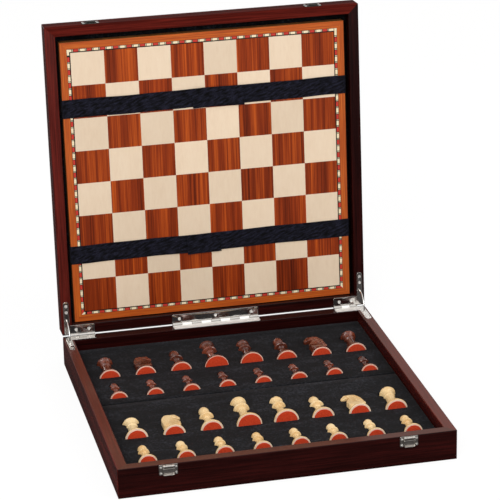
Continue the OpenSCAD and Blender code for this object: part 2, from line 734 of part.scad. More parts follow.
module officer_nests(near) {
    kind("king", king_r, near) nest(king_r, 0.68 * king_r, king_h + cross_h);
    kind("queen", queen_r, near) nest(queen_r, 0.62 * queen_r, queen_h);
    kind("bishop", bishop_r, near) nest(bishop_r, 0.68 * bishop_r, bishop_h);
    kind("rook", rook_r, near) nest(rook_r, 0.78 * rook_r, rook_h);
    kind("knight", knight_r, near) {
        nest(knight_r, 0.72 * knight_r, knight_r);
        translate([-0.9 * knight_r, -tray_drop - knight_r, 0])
            cube([2.05 * knight_r, tray_drop + 1.68 * knight_r, knight_h + nest_end_gap]);
    }
}

module tray_block(y0, y1) {
    translate([-inner + tray_gap, y0, panel_t]) cube([inner_w - 2 * tray_gap, y1 - y0, tray_z - panel_t]);
}

module tray_far_block() {
    color("#1b1b1f") difference() {
        tray_block(split_y + tray_split / 2, inner - tray_gap);
        officer_nests(false);
        pawns(false) nest(pawn_r, 0.64 * pawn_r, pawn_h);
    }
}

module tray_near_block() {
    color("#1b1b1f") difference() {
        tray_block(-inner + tray_gap, split_y - tray_split / 2);
        officer_nests(true);
        pawns(true) nest(pawn_r, 0.64 * pawn_r, pawn_h);
    }
}

// Base

module base_front_wall() {
    color("#4a1614") difference() {
        mitred_wall(base_h, 0);
        at_plate_screws([-1, 1], catch_plate_z) screw_hole(catch_screw_r, catch_screw_l);
    }
}

module base_back_wall() {
    color("#4a1614") difference() {
        mitred_wall(base_h, 2);
        back_wall_cuts();
    }
}

module base_left_wall() {
    color("#4a1614") difference() {
        mitred_wall(base_h, 3);
        side_wall_cuts(-1);
    }
}

module base_right_wall() {
    color("#4a1614") difference() {
        mitred_wall(base_h, 1);
        side_wall_cuts(1);
    }
}

module base_panel() {
    color("#3a1210") linear_extrude(panel_t) square(inner_w + 2 * rebate_w, center = true);
}

// Lid

module lid_front_wall() {
    color("#4a1614") in_open_lid() difference() {
        lid_wall(0);
        at_plate_screws([-1, 1], keeper_plate_z) screw_hole(catch_screw_r, catch_screw_l);
    }
}

module lid_back_wall() {
    color("#4a1614") in_open_lid() difference() {
        lid_wall(2);
        on_lid_rim() back_wall_cuts();
    }
}

module lid_left_wall() {
    color("#4a1614") in_open_lid() difference() {
        lid_wall(3);
        on_lid_rim() side_wall_cuts(-1);
    }
}

module lid_right_wall() {
    color("#4a1614") in_open_lid() difference() {
        lid_wall(1);
        on_lid_rim() side_wall_cuts(1);
    }
}

module lid_panel() {
    color("#4a1614") in_open_lid()
        translate([0, 0, lid_panel_z]) linear_extrude(panel_t)
            square(inner_w + 2 * rebate_w, center = true);
}

// Velvet sheet with a slit for each end of the straps
module lid_lining() {
    color("#141416") in_open_lid() difference() {
        translate([0, 0, lining_z]) linear_extrude(lining_t) square(inner_w, center = true);
        for (u = [low_strap_at, high_strap_at], s = [-1, 1])
            translate([s * (board_w / 2 + strap_t / 2), half - u, lining_z + lining_t / 2])
                cube([strap_t + 2 * strap_slit, strap_w + 2 * strap_slit, 2 * lining_t], center = true);
    }
}

// Board

module board_core() {
    color("#7a4a26") in_open_lid() translate([0, board_y, board_z + veneer_t])
        linear_extrude(board_t - veneer_t) square(board_w, center = true);
}

// Four strips, mitred at the corners
module board_border() {
    color("#b5541c") in_open_lid() translate([0, board_y, board_z]) for (k = [0:3]) rotate([0, 0, 90 * k])
        linear_extrude(veneer_t) polygon([[-board_w / 2, -board_w / 2], [board_w / 2, -board_w / 2],
            [field_w / 2 + inlay_w, -field_w / 2 - inlay_w],
            [-field_w / 2 - inlay_w, -field_w / 2 - inlay_w]]);
}

module board_inlay() {
    color("#c23a35") in_open_lid() translate([0, board_y, board_z]) linear_extrude(veneer_t) difference() {
        square(field_w + 2 * inlay_w, center = true);
        square(field_w, center = true);
    }
}

module field_squares(odd) {
    in_open_lid() translate([-field_w / 2, board_y + field_w / 2, board_z])
        for (i = [0:COLUMNS - 1], j = [0:COLUMNS - 1]) if ((i + j) % 2 == odd)
            translate([i * square_w, -(j + 1) * square_w, 0]) cube([square_w, square_w, veneer_t]);
}

module light_squares() {
    color("#dcc7a6") field_squares(1);
}

module dark_squares() {
    color("#9c4a1a") field_squares(0);
}

// Elastic band over the face and down both sides of the board, through the lining to the panel
module strap(u, lap) {
    color("#17171c") in_open_lid() translate([0, half - u - strap_w / 2, 0]) {
        difference() {
            translate([-board_w / 2 - strap_t, 0, board_z - strap_t])
                cube([board_w + 2 * strap_t, strap_w, board_t + strap_t + lining_t]);
            translate([-board_w / 2, -over, board_z])
                cube([board_w, strap_w + 2 * over, board_t + lining_t + over]);
        }
        translate([lap[0], 0, board_z - strap_t - lap_t]) cube([lap[1] - lap[0], strap_w, lap_t + 0.01]);
    }
}

module low_strap() {
    strap(low_strap_at, low_lap);
}

module high_strap() {
    strap(high_strap_at, high_lap);
}

// Hinges

module centre_base_leaf() {
    color("#c9cbd0") centre_leaf(1);
}

module centre_lid_leaf() {
    color("#c9cbd0") in_open_lid() on_lid_rim() centre_leaf(0);
}

module left_base_leaf() {
    color("#c9cbd0") mirror([1, 0, 0]) corner_leaf(1);
}

module left_lid_leaf() {
    color("#c9cbd0") in_open_lid() on_lid_rim() mirror([1, 0, 0]) corner_leaf(0);
}

module right_base_leaf() {
    color("#c9cbd0") corner_leaf(1);
}

module right_lid_leaf() {
    color("#c9cbd0") in_open_lid() on_lid_rim() corner_leaf(0);
}

module hinge_pins() {
    color("#aeb1b8") for (c = [[0, centre_hinge_l], [-1, corner_hinge_l], [1, corner_hinge_l]])
        translate([c[0] * (corner_hinge_x + corner_hinge_l / 2) - c[1] / 2, axis_y, axis_z])
            rotate([0, 90, 0]) cylinder(h = c[1], r = pin_r);
}

module left_stay() {
    color("#d6d8dc") stay(-1);
}

module right_stay() {
    color("#d6d8dc") stay(1);
}

module hinge_screws() {
    at_centre_screws() wood_screw(screw_r, screw_head_r, leaf_t, screw_l);
    at_hinge_screws([-1, 1]) wood_screw(screw_r, screw_head_r, leaf_t, screw_l);
}

module base_hinge_screws() {
    color("#dcdde0") hinge_screws();
}

module lid_hinge_screws() {
    color("#dcdde0") in_open_lid() on_lid_rim() hinge_screws();
}

// Catches

module left_catch_plate() {
    color("#c9cbd0") catch_plate(-1);
}

module right_catch_plate() {
    color("#c9cbd0") catch_plate(1);
}

module left_flap() {
    color("#b9bbc0") flap(-1);
}

module right_flap() {
    color("#b9bbc0") flap(1);
}

module flap_pins() {
    color("#aeb1b8") for (s = [-1, 1]) translate([s * catch_at - flap_w / 2, flap_y, flap_z])
        rotate([0, 90, 0]) cylinder(h = flap_w, r = flap_pin_r);
}

module left_keeper() {
    color("#c9cbd0") in_open_lid() keeper(-1);
}

module right_keeper() {
    color("#c9cbd0") in_open_lid() keeper(1);
}

module catch_screws() {
    color("#dcdde0") at_plate_screws([-1, 1], catch_plate_z)
        wood_screw(catch_screw_r, catch_head_r, plate_t, catch_screw_l);
}

module keeper_screws() {
    color("#dcdde0") in_open_lid() at_plate_screws([-1, 1], keeper_plate_z)
        wood_screw(catch_screw_r, catch_head_r, plate_t, catch_screw_l);
}

// Pieces: the dark set lies at the back of the box and the light set at the front

module dark_king() {
    color("#7a2f1c") kind("king", king_r, false) king();
}

module dark_queen() {
    color("#7a2f1c") kind("queen", queen_r, false) queen();
}

module dark_bishops() {
    color("#7a2f1c") kind("bishop", bishop_r, false) bishop();
}

module dark_knights() {
    color("#7a2f1c") kind("knight", knight_r, false) knight();
}

module dark_rooks() {
    color("#7a2f1c") kind("rook", rook_r, false) rook();
}

module dark_pawns() {
    color("#7a2f1c") pawns(false) pawn();
}

module light_king() {
    color("#e3c48c") kind("king", king_r, true) king();
}

module light_queen() {
    color("#e3c48c") kind("queen", queen_r, true) queen();
}

module light_bishops() {
    color("#e3c48c") kind("bishop", bishop_r, true) bishop();
}

module light_knights() {
    color("#e3c48c") kind("knight", knight_r, true) knight();
}

module light_rooks() {
    color("#e3c48c") kind("rook", rook_r, true) rook();
}

module light_pawns() {
    color("#e3c48c") pawns(true) pawn();
}

module dark_officer_felts() {
    color("#c8321e") officer_felts(false, dark_felt_margin);
}

module dark_pawn_felts() {
    color("#c8321e") pawns(false) felt(pawn_r, dark_felt_margin + 0.2);
}

module light_officer_felts() {
    color("#c8321e") officer_felts(true, light_felt_margin);
}

module light_pawn_felts() {
    color("#c8321e") pawns(true) felt(pawn_r, light_felt_margin - 0.4);
}

base_front_wall();
base_back_wall();
base_left_wall();
base_right_wall();
base_panel();
tray_far_block();
tray_near_block();
lid_front_wall();
lid_back_wall();
lid_left_wall();
lid_right_wall();
lid_panel();
lid_lining();
board_core();
board_border();
board_inlay();
light_squares();
dark_squares();
low_strap();
high_strap();
centre_base_leaf();
centre_lid_leaf();
left_base_leaf();
left_lid_leaf();
right_base_leaf();
right_lid_leaf();
hinge_pins();
left_stay();
right_stay();
base_hinge_screws();
lid_hinge_screws();
left_catch_plate();
right_catch_plate();
left_flap();
right_flap();
flap_pins();
left_keeper();
right_keeper();
catch_screws();
keeper_screws();
dark_king();
dark_queen();
dark_bishops();
dark_knights();
dark_rooks();
dark_pawns();
light_king();
light_queen();
light_bishops();
light_knights();
light_rooks();
light_pawns();
dark_officer_felts();
dark_pawn_felts();
light_officer_felts();
light_pawn_felts();
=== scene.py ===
import math

import bpy
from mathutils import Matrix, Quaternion, Vector


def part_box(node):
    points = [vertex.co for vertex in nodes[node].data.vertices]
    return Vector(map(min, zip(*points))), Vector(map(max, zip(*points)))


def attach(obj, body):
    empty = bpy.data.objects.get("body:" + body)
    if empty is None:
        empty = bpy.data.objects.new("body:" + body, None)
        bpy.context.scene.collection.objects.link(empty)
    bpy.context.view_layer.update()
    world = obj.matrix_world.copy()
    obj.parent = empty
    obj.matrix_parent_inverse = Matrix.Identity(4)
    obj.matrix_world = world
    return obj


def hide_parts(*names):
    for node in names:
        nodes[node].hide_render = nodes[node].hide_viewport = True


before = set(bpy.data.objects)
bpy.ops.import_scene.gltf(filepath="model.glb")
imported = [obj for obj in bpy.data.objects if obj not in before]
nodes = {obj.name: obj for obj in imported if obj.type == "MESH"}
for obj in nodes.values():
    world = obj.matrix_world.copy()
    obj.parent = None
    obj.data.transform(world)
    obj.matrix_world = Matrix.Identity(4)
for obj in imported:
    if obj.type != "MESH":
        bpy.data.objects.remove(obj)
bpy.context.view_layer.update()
MM = 0.001
bpy.context.scene.view_settings.view_transform = "Standard"

# Camera
# The picture is taken from 2.8 m away through a long lens, from a little to the left of the box and
# 20 degrees above it. The camera leans a little to one side.
eye = Vector((-0.5529, -2.4994, 1.1588))
view = Vector((0.20314, 0.91388, -0.35150))
lean = math.radians(-1.204)
camera_data = bpy.data.cameras.new("camera")
camera_data.lens = 173.8
camera_data.sensor_width = 36
camera = bpy.data.objects.new("camera", camera_data)
bpy.context.scene.collection.objects.link(camera)
camera.location = eye
camera.rotation_mode = "QUATERNION"
camera.rotation_quaternion = view.to_track_quat("-Z", "Y") @ Quaternion((0, 0, 1), lean)
bpy.context.scene.camera = camera


# Studio
# The box stands on a wide white sweep under one broad soft lamp from the front left and a weaker one
# from the right. What shines in the metal and the lacquer is a room that is dark near the floor and
# pale overhead, and a dark grey card laid round the box.
def linear(code):
    # an sRGB hex colour as the linear colour that a shader takes
    parts = [int(code[i:i + 2], 16) / 255 for i in (1, 3, 5)]
    return [p / 12.92 if p <= 0.04045 else ((p + 0.055) / 1.055) ** 2.4 for p in parts] + [1]


def add_node(tree, kind, values=None, links=None, stops=None, **settings):
    # one shader node with its settings, the values and links of its sockets and the stops of its ramp
    made = tree.nodes.new(kind)
    for key, value in settings.items():
        setattr(made, key, value)
    for key, value in (values or {}).items():
        made.inputs[key].default_value = value
    for key, source in (links or {}).items():
        tree.links.new(source, made.inputs[key])
    for i, (place, colour) in enumerate(stops or []):
        elements = made.color_ramp.elements
        stop = elements[i] if i < 2 else elements.new(place)
        stop.position = place
        stop.color = linear(colour)
    return made


world = bpy.data.worlds.new("studio")
bpy.context.scene.world = world
world.use_nodes = True
sky = world.node_tree
for old in list(sky.nodes):
    sky.nodes.remove(old)
rays = add_node(sky, "ShaderNodeLightPath")
toward = add_node(sky, "ShaderNodeTexCoord")
split = add_node(sky, "ShaderNodeSeparateXYZ", links={"Vector": toward.outputs["Generated"]})
room = add_node(sky, "ShaderNodeMapRange",
                {"From Min": 0.1, "From Max": 0.6, "To Min": 0.1, "To Max": 1.0},
                {"Value": split.outputs["Z"]})
lit = add_node(sky, "ShaderNodeBackground", {"Color": linear("#ffffff"), "Strength": 0.64})
seen = add_node(sky, "ShaderNodeBackground", {"Color": linear("#ffffff"), "Strength": 1.0})
shine = add_node(sky, "ShaderNodeBackground", {"Color": linear("#ffffff")},
                 {"Strength": room.outputs["Result"]})
glossy = add_node(sky, "ShaderNodeMixShader", links={0: rays.outputs["Is Glossy Ray"], 1: lit.outputs[0],
                                                     2: shine.outputs[0]})
direct = add_node(sky, "ShaderNodeMath",
                  links={0: rays.outputs["Is Camera Ray"], 1: rays.outputs["Is Transmission Ray"]},
                  operation="MAXIMUM")
whole = add_node(sky, "ShaderNodeMixShader", links={0: direct.outputs[0], 1: glossy.outputs[0],
                                                    2: seen.outputs[0]})
add_node(sky, "ShaderNodeOutputWorld", links={"Surface": whole.outputs[0]})

for name, place, size, watts in (("key_lamp", (-1.2, -2.5, 1.9), 2.0, 45),
                                 ("fill_lamp", (2.2, -1.4, 1.7), 1.6, 18)):
    lamp_data = bpy.data.lights.new(name, "AREA")
    lamp_data.shape = "DISK"
    lamp_data.size = size
    lamp_data.energy = watts
    lamp = bpy.data.objects.new(name, lamp_data)
    bpy.context.scene.collection.objects.link(lamp)
    lamp.location = place
    lamp.rotation_mode = "QUATERNION"
    lamp.rotation_quaternion = (Vector((0, 0, 0.1)) - Vector(place)).to_track_quat("-Z", "Y")

# the sweep lies this far below the underside of the box and the card this far above it, so that no two
# faces lie in one plane
sheet_gap = 0.2 * MM
bpy.ops.object.select_all(action="DESELECT")
bpy.ops.mesh.primitive_plane_add(size=30, location=(0, 0, -sheet_gap))
floor = bpy.context.object
floor.name = "floor"
paper = bpy.data.materials.new("white_paper_sweep")
paper.use_nodes = True
sweep = paper.node_tree
matt = sweep.nodes["Principled BSDF"]
matt.inputs["Base Color"].default_value = linear("#f7f6f5")
matt.inputs["Roughness"].default_value = 0.9
matt.inputs["Specular IOR Level"].default_value = 0.1
seen_rays = add_node(sweep, "ShaderNodeLightPath")
bright = add_node(sweep, "ShaderNodeEmission", {"Color": linear("#ffffff"), "Strength": 1.05})
# the camera sees the sweep mostly as plain white and a little of the shadow on it
amount = add_node(sweep, "ShaderNodeMath", {1: 0.86}, {0: seen_rays.outputs["Is Camera Ray"]},
                  operation="MULTIPLY")
shown = add_node(sweep, "ShaderNodeMixShader", links={0: amount.outputs[0], 1: matt.outputs[0],
                                                      2: bright.outputs[0]})
sweep.links.new(shown.outputs[0], sweep.nodes["Material Output"].inputs["Surface"])
floor.data.materials.append(paper)

# the card keeps the lacquered sides dark; the camera doesn't see it, and it casts no shadow or light
bpy.ops.object.select_all(action="DESELECT")
bpy.ops.mesh.primitive_plane_add(size=4, location=(0, 0, sheet_gap))
card = bpy.context.object
card.name = "grey_card"
card.visible_camera = False
card.visible_diffuse = False
card.visible_shadow = False
grey = bpy.data.materials.new("grey_card")
grey.use_nodes = True
grey.node_tree.nodes["Principled BSDF"].inputs["Base Color"].default_value = linear("#3a3636")
grey.node_tree.nodes["Principled BSDF"].inputs["Roughness"].default_value = 0.9
card.data.materials.append(grey)

# Walls and panels
# Base and lid are mitred frames of a red-brown hardwood, stained very dark and sprayed with a clear
# gloss lacquer. The grain runs along each wall and shows only as faint red streaks under the gloss.
hinge_axis = Vector((0, 191, 36)) * MM
lid_open = math.radians(93.7)
lid_tilt = math.radians(90) - lid_open
streak_l = 70 * MM
streak_w = 1.6 * MM


def material(name):
    made = bpy.data.materials.new(name)
    made.use_nodes = True
    return made, made.node_tree, made.node_tree.nodes["Principled BSDF"]


def give(finish, *names):
    # the finish goes on the CAD nodes of these names
    for name in names:
        nodes[name].data.materials.clear()
        nodes[name].data.materials.append(finish)


def lacquered_mahogany(name, along, tilt, deep, middle, pale, painted_top_light):
    made, tree, shader = material(name)
    place = add_node(tree, "ShaderNodeTexCoord")
    turned = add_node(tree, "ShaderNodeMapping", {"Rotation": (tilt, 0, 0)},
                      {"Vector": place.outputs["Object"]}, vector_type="TEXTURE")
    # along is the axis of the grain: 0 for X, 1 for Y, 2 for Z
    size = [streak_w] * 3
    size[along] = streak_l
    fine = add_node(tree, "ShaderNodeMapping", {"Scale": size}, {"Vector": turned.outputs[0]},
                    vector_type="TEXTURE")
    broad = add_node(tree, "ShaderNodeMapping", {"Scale": [s * 7 for s in size]},
                     {"Vector": turned.outputs[0]}, vector_type="TEXTURE")
    streaks = add_node(tree, "ShaderNodeTexNoise",
                       {"Scale": 1, "Detail": 5, "Roughness": 0.65, "Distortion": 0.4},
                       {"Vector": fine.outputs[0]})
    bands = add_node(tree, "ShaderNodeTexNoise", {"Scale": 1, "Detail": 2, "Distortion": 0.8},
                     {"Vector": broad.outputs[0]})
    both = add_node(tree, "ShaderNodeMix", {"Factor": 0.45}, {2: streaks.outputs[0], 3: bands.outputs[0]})
    stain = add_node(tree, "ShaderNodeValToRGB", links={"Fac": both.outputs[0]},
                     stops=[(0.36, deep), (0.62, pale), (0.5, middle)])
    worn = add_node(tree, "ShaderNodeTexNoise", {"Scale": 900, "Detail": 2},
                    {"Vector": turned.outputs[0]})
    polish = add_node(tree, "ShaderNodeMapRange", {"To Min": 0.20, "To Max": 0.30},
                      {"Value": worn.outputs[0]})
    grain = add_node(tree, "ShaderNodeBump", {"Strength": 0.06, "Distance": 0.2 * MM},
                     {"Height": streaks.outputs[0]})
    # faces that look straight up, such as the rims, are painted paler: a painted highlight of the light
    # from above
    facing = add_node(tree, "ShaderNodeSeparateXYZ", links={0: place.outputs["Normal"]})
    top_light_mask = add_node(tree, "ShaderNodeMapRange", {"From Min": 0.9, "From Max": 0.99, "To Max": painted_top_light},
                   {"Value": facing.outputs["Z"]})
    colour = add_node(tree, "ShaderNodeMix", {7: linear("#7b4a3c")},
                      {0: top_light_mask.outputs[0], 6: stain.outputs["Color"]}, data_type="RGBA")
    tree.links.new(colour.outputs[2], shader.inputs["Base Color"])
    tree.links.new(polish.outputs[0], shader.inputs["Roughness"])
    tree.links.new(grain.outputs[0], shader.inputs["Normal"])
    shader.inputs["IOR"].default_value = 1.22
    shader.inputs["Coat Weight"].default_value = 0.12
    shader.inputs["Coat Roughness"].default_value = 0.12
    shader.inputs["Coat IOR"].default_value = 1.3
    return made


# the front and back walls and the panel of the base, and the back and right walls of the lid, are
# coloured darker than the rest, as painted shade for faces that get less light
shaded_stain = ("#150303", "#210605", "#340c0a")
red_stain = ("#300a08", "#47140f", "#641e17")
# the last number is the share of painted highlight on faces that look straight up
give(lacquered_mahogany("mahogany_grain_across", 0, 0, *shaded_stain, 0.45),
     "base_front_wall", "base_panel")
give(lacquered_mahogany("mahogany_grain_deep", 1, 0, *red_stain, 0.35),
     "base_left_wall", "base_right_wall")
give(lacquered_mahogany("mahogany_lid_across", 0, lid_tilt, *red_stain, 0), "lid_panel")
# the lacquer of the lid's front wall is rubbed down, so its outer face, seen at a slant, stays deep red
rubbed_front = lacquered_mahogany("mahogany_lid_front", 0, lid_tilt, *red_stain, 0)
rubbed_front.node_tree.nodes["Principled BSDF"].inputs["IOR"].default_value = 1.06
rubbed_front.node_tree.nodes["Principled BSDF"].inputs["Coat Weight"].default_value = 0
give(rubbed_front, "lid_front_wall")
give(lacquered_mahogany("mahogany_lid_left", 2, lid_tilt, *red_stain, 0), "lid_left_wall")
give(lacquered_mahogany("mahogany_lid_right", 2, lid_tilt, *shaded_stain, 0), "lid_right_wall")


def pick(piece):
    # only this piece is selected, and the next operator works on it
    bpy.ops.object.select_all(action="DESELECT")
    bpy.context.view_layer.objects.active = piece
    piece.select_set(True)


def copy_of(name, new_name):
    # a copy of a CAD node's mesh as a new piece, with its loose triangles joined up
    made = nodes[name].copy()
    made.data = nodes[name].data.copy()
    made.name = new_name
    made.parent = None
    bpy.context.scene.collection.objects.link(made)
    made.hide_render = False
    made.hide_viewport = False
    pick(made)
    bpy.ops.object.mode_set(mode="EDIT")
    bpy.ops.mesh.select_all(action="SELECT")
    bpy.ops.mesh.remove_doubles(threshold=0.005 * MM)
    bpy.ops.object.mode_set(mode="OBJECT")
    made.data.materials.clear()
    return made


def swung(point, angle):
    # the point turned about the hinge line; a positive angle closes the lid
    return Quaternion((1, 0, 0), angle) @ (point - hinge_axis) + hinge_axis


# the two long edges that meet at the hinge line aren't rounded over by 1 mm like the other rims: each is
# drawn out to a sharp lip past its rim, so that only a narrow slit of light shows between them
rounding = 1 * MM
edge_y = 190 * MM
lip = 0.9 * MM
for name, body, tilt, rim_z, inward in (("base_back_wall", "base", 0, 35 * MM, -1),
                                        ("lid_back_wall", "lid", lid_open, 37 * MM, 1)):
    wall = copy_of(name, name + "_sharp")
    arc_middle = Vector((0, edge_y - rounding, rim_z + inward * rounding))
    for vertex in wall.data.vertices:
        closed = swung(vertex.co, tilt)
        off = Vector((0, closed.y - arc_middle.y, closed.z - arc_middle.z))
        # a vertex of the rounding lies on its arc, outside its middle both ways
        if abs(off.length - rounding) < 0.03 * MM and off.y > 0.01 * MM and off.z * inward < -0.01 * MM:
            vertex.co = swung(Vector((closed.x, edge_y, rim_z - inward * lip)), -tilt)
    # the back walls take the darker colour, which is painted shade, and a little painted highlight on
    # their top faces
    grain_tilt = lid_tilt if body == "lid" else 0
    wall.data.materials.append(lacquered_mahogany(name + "_mahogany", 0, grain_tilt, *shaded_stain, 0.12))
    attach(wall, body)
    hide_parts(name)


# Tray
# The two blocks of the tray are moulded foam with a skin of black flocked velvet. The foam closes up
# to every piece, open upwards. The pile is brushed unevenly and holds specks of lint.
def modify(piece, kind, **settings):
    # adds one modifier to the piece and applies it
    pick(piece)
    change = piece.modifiers.new(kind.lower(), kind)
    for key, value in settings.items():
        setattr(change, key, value)
    bpy.ops.object.modifier_apply(modifier=change.name)


def apply_place(piece):
    # the piece's place goes into its mesh, and its object goes back to the origin
    pick(piece)
    bpy.ops.object.transform_apply(location=True, rotation=True, scale=True)


def join(pieces, name):
    bpy.ops.object.select_all(action="DESELECT")
    for piece in pieces:
        piece.select_set(True)
    bpy.context.view_layer.objects.active = pieces[0]
    bpy.ops.object.join()
    pieces[0].name = name
    return pieces[0]


def flocked_velvet(name, lint):
    made, tree, shader = material(name)
    place = add_node(tree, "ShaderNodeTexCoord")
    pile = add_node(tree, "ShaderNodeTexNoise", {"Scale": 1 / (2.6 * MM), "Detail": 4, "Roughness": 0.75},
                    {"Vector": place.outputs["Object"]})
    brushed = add_node(tree, "ShaderNodeMapping", {"Scale": (40 * MM, 14 * MM, 40 * MM)},
                       {"Vector": place.outputs["Object"]}, vector_type="TEXTURE")
    strokes = add_node(tree, "ShaderNodeTexNoise",
                       {"Scale": 1, "Detail": 3, "Roughness": 0.6, "Distortion": 0.5},
                       {"Vector": brushed.outputs[0]})
    both = add_node(tree, "ShaderNodeMix", {"Factor": 0.35}, {2: pile.outputs[0], 3: strokes.outputs[0]})
    shade = add_node(tree, "ShaderNodeValToRGB", links={"Fac": both.outputs[0]},
                     stops=[(0.41, "#040506"), (0.64, "#2e3036"), (0.52, "#0f1013")])
    specks = add_node(tree, "ShaderNodeTexVoronoi", {"Scale": 1 / (5 * MM)},
                      {"Vector": place.outputs["Object"]})
    dots = add_node(tree, "ShaderNodeMapRange",
                    {"From Min": 0.05, "From Max": 0.09, "To Min": lint, "To Max": 0},
                    {"Value": specks.outputs["Distance"]})
    colour = add_node(tree, "ShaderNodeMix", {7: linear("#6d4f4c")},
                      {0: dots.outputs[0], 6: shade.outputs["Color"]}, data_type="RGBA")
    nap = add_node(tree, "ShaderNodeBump", {"Strength": 0.35, "Distance": 0.4 * MM},
                   {"Height": pile.outputs[0]})
    tree.links.new(colour.outputs[2], shader.inputs["Base Color"])
    tree.links.new(nap.outputs[0], shader.inputs["Normal"])
    shader.inputs["Roughness"].default_value = 0.95
    shader.inputs["Specular IOR Level"].default_value = 0.15
    shader.inputs["Sheen Weight"].default_value = 0.15
    shader.inputs["Sheen Roughness"].default_value = 0.45
    shader.inputs["Sheen Tint"].default_value = linear("#9a9598")
    return made


velvet = flocked_velvet("black_flocked_velvet", 0.5)
block_edge = 1.8 * MM
block_cuts = 17
nest_gap = 0.35 * MM
nest_lift = 1.6 * MM
nest_grid = 0.9 * MM
for block, side in (("tray_far_block", "dark"), ("tray_near_block", "light")):
    low, high = (Vector(corner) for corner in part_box(block))
    bpy.ops.object.select_all(action="DESELECT")
    bpy.ops.mesh.primitive_cube_add(size=1, location=(low + high) / 2)
    skin = bpy.context.object
    skin.name = block + "_velvet"
    skin.scale = high - low
    apply_place(skin)
    modify(skin, "BEVEL", width=block_edge, segments=3)
    # small faces cut more cleanly than one large face with 16 nests in it
    bpy.ops.object.mode_set(mode="EDIT")
    bpy.ops.mesh.select_all(action="SELECT")
    bpy.ops.mesh.subdivide(number_cuts=block_cuts)
    bpy.ops.object.mode_set(mode="OBJECT")
    # what the foam closes up to: the pieces a little swollen, and drawn out upwards by two copies
    kinds = [side + "_" + kind for kind in ("king", "queen", "bishops", "knights", "rooks", "pawns")]
    nests = join([copy_of(kind, kind + "_nests") for kind in kinds], side + "_nests")
    bpy.ops.object.mode_set(mode="EDIT")
    bpy.ops.mesh.select_all(action="SELECT")
    for again in range(2):
        bpy.ops.mesh.duplicate()
        bpy.ops.transform.translate(value=(0, 0, nest_lift))
    bpy.ops.object.mode_set(mode="OBJECT")
    modify(nests, "REMESH", mode="VOXEL", voxel_size=nest_grid, adaptivity=0)
    modify(nests, "DISPLACE", strength=nest_gap, mid_level=0)
    modify(skin, "BOOLEAN", operation="DIFFERENCE", object=nests, solver="MANIFOLD")
    bpy.data.objects.remove(nests)
    bpy.ops.object.shade_smooth_by_angle(angle=math.radians(30))
    skin.data.materials.clear()
    skin.data.materials.append(velvet)
    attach(skin, "base")
    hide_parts(block)

# Lining of the lid
# A sheet of the same black velvet, with hardly any lint on it, is cut 355.2 mm square and glued to the
# inside of the lid's panel. It shows as a black margin round the board.
lining = copy_of("lid_lining", "lid_lining_velvet")
modify(lining, "BEVEL", width=0.3 * MM, segments=2, limit_method="ANGLE")
lining.data.materials.append(flocked_velvet("black_lining_velvet", 0.1))
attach(lining, "lid")
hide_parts("lid_lining")

# Board
# A plywood board veneered with 64 squares, a band of inlay and a mitred border. The pale squares are
# maple, even and creamy; the dark ones are a striped red-brown veneer whose grain runs up the lid.
square = 40 * MM
field_middle = 187.2 * MM


def veneer(name, pale, middle, deep, stripe, roughness, spread):
    # stripe is the width and length of a streak, and a wide spread of the tones makes the figure faint;
    # each square shifts the pattern and the tone a little
    made, tree, shader = material(name)
    place = add_node(tree, "ShaderNodeTexCoord")
    flat = add_node(tree, "ShaderNodeMapping", {"Location": hinge_axis, "Rotation": (lid_tilt, 0, 0)},
                    {"Vector": place.outputs["Object"]}, vector_type="TEXTURE")
    counted = add_node(tree, "ShaderNodeMapping",
                       {"Location": (0, 0, field_middle - 4 * square), "Scale": (square, 1, square)},
                       {"Vector": flat.outputs[0]}, vector_type="TEXTURE")
    whole_squares = add_node(tree, "ShaderNodeVectorMath", links={0: counted.outputs[0]},
                             operation="FLOOR")
    chance = add_node(tree, "ShaderNodeTexWhiteNoise", links={"Vector": whole_squares.outputs[0]})
    streaked = add_node(tree, "ShaderNodeMapping", {"Scale": (stripe[0], 1, stripe[1])},
                        {"Vector": flat.outputs[0]}, vector_type="TEXTURE")
    shift = add_node(tree, "ShaderNodeVectorMath", {1: (60, 60, 60)}, {0: chance.outputs["Color"]},
                     operation="MULTIPLY")
    moved = add_node(tree, "ShaderNodeVectorMath", links={0: streaked.outputs[0], 1: shift.outputs[0]},
                     operation="ADD")
    stripes = add_node(tree, "ShaderNodeTexNoise",
                       {"Scale": 1, "Detail": 6, "Roughness": 0.7, "Distortion": 0.25},
                       {"Vector": moved.outputs[0]})
    # broad bands, six times as wide as the streaks
    wide = add_node(tree, "ShaderNodeMapping", {"Scale": (6, 1, 3)}, {"Vector": moved.outputs[0]},
                    vector_type="TEXTURE")
    bands = add_node(tree, "ShaderNodeTexNoise", {"Scale": 1, "Detail": 2, "Distortion": 0.2},
                     {"Vector": wide.outputs[0]})
    figure = add_node(tree, "ShaderNodeMix", {"Factor": 0.38},
                      {2: stripes.outputs[0], 3: bands.outputs[0]})
    tone = add_node(tree, "ShaderNodeValToRGB", links={"Fac": figure.outputs[0]},
                    stops=[(0.5 - spread, deep), (0.5 + spread, pale), (0.5, middle)])
    leaf = add_node(tree, "ShaderNodeMapRange", {"To Min": 0.9, "To Max": 1.06},
                    {"Value": chance.outputs["Value"]})
    toned = add_node(tree, "ShaderNodeHueSaturation", links={"Color": tone.outputs["Color"],
                                                             "Value": leaf.outputs[0]})
    tree.links.new(toned.outputs[0], shader.inputs["Base Color"])
    shader.inputs["Roughness"].default_value = roughness
    shader.inputs["Specular IOR Level"].default_value = 0.18
    return made


give(veneer("maple_veneer", "#e9d4ba", "#e5ceb3", "#dfc6aa", (2.5 * MM, 12 * MM), 0.4, 0.25),
     "light_squares")
give(veneer("striped_veneer", "#c45717", "#8a3009", "#4c1403", (1.7 * MM, 160 * MM), 0.38, 0.15),
     "dark_squares")
# the sawn edge of the plywood is a dull mid brown
give(veneer("plywood_edge", "#a8743f", "#8a5a2e", "#6a4020", (3 * MM, 40 * MM), 0.7, 0.25), "board_core")


